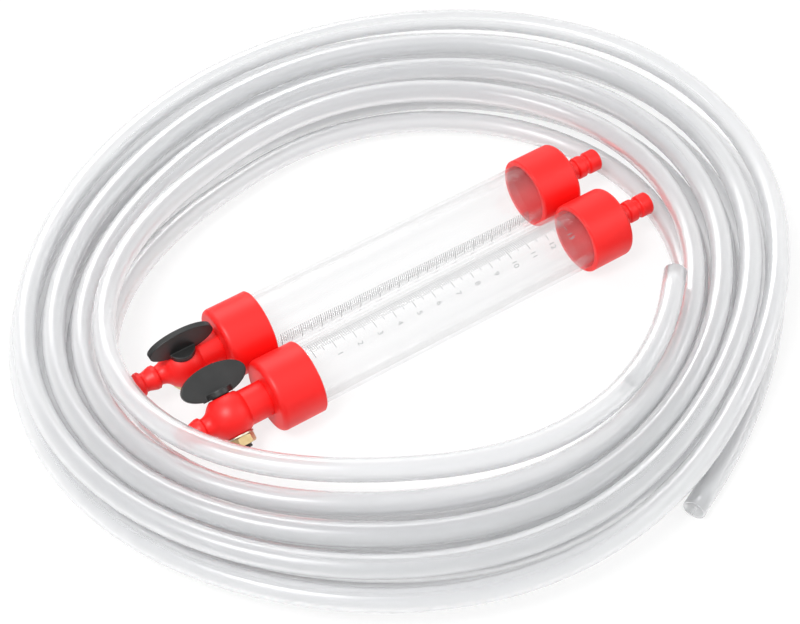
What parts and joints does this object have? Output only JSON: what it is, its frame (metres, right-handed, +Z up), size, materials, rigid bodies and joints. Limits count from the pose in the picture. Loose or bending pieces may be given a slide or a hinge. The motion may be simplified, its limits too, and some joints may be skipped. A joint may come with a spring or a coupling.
{
  "type": "hose water level",
  "caption": "Hose water level: clear graduated vials with stopcocks and hose barbs, stored inside a wound clear hose.",
  "frame": {"origin": "on the floor, under the middle of the box round both vials", "axes": "+X along the vials from the stopcocks to the outlet barbs, +Z up"},
  "size_m": [0.3595, 0.3191, 0.0408],
  "materials": {
    "clear_tube": "clear, smooth",
    "red_plastic": "moulded, satin gloss",
    "black_plastic": "moulded, satin",
    "gasket_rubber": "matt, dyed red",
    "nut_metal": "yellow zinc plated",
    "washer_metal": "zinc plated",
    "clear_hose": "clear soft hose"
  },
  "bodies": {
    "level": {"tube_a": "clear_tube", "valve_end_cap_a": "red_plastic", "outlet_end_cap_a": "red_plastic", "valve_cap_gasket_a": "gasket_rubber", "outlet_cap_gasket_a": "gasket_rubber", "valve_body_a": "red_plastic", "tube_b": "clear_tube", "valve_end_cap_b": "red_plastic", "outlet_end_cap_b": "red_plastic", "valve_cap_gasket_b": "gasket_rubber", "outlet_cap_gasket_b": "gasket_rubber", "valve_body_b": "red_plastic", "hose_coil": "clear_hose"},
    "plug_a": {"valve_plug_a": "black_plastic", "plug_washer_a": "washer_metal", "plug_nut_a": "nut_metal"},
    "plug_b": {"valve_plug_b": "black_plastic", "plug_washer_b": "washer_metal", "plug_nut_b": "nut_metal"}
  },
  "joints": [
    {"name": "stopcock_turn_a", "type": "hinge", "parent": "level", "child": "plug_a", "pos_m": [-0.0994, 0.0174, 0.0165], "axis": [0, -0.0349, 0.9994], "range_deg": [0, 90]},
    {"name": "stopcock_turn_b", "type": "hinge", "parent": "level", "child": "plug_b", "pos_m": [-0.0959, -0.0174, 0.0165], "axis": [0, 0.829, 0.5592], "range_deg": [0, 90]}
  ]
}
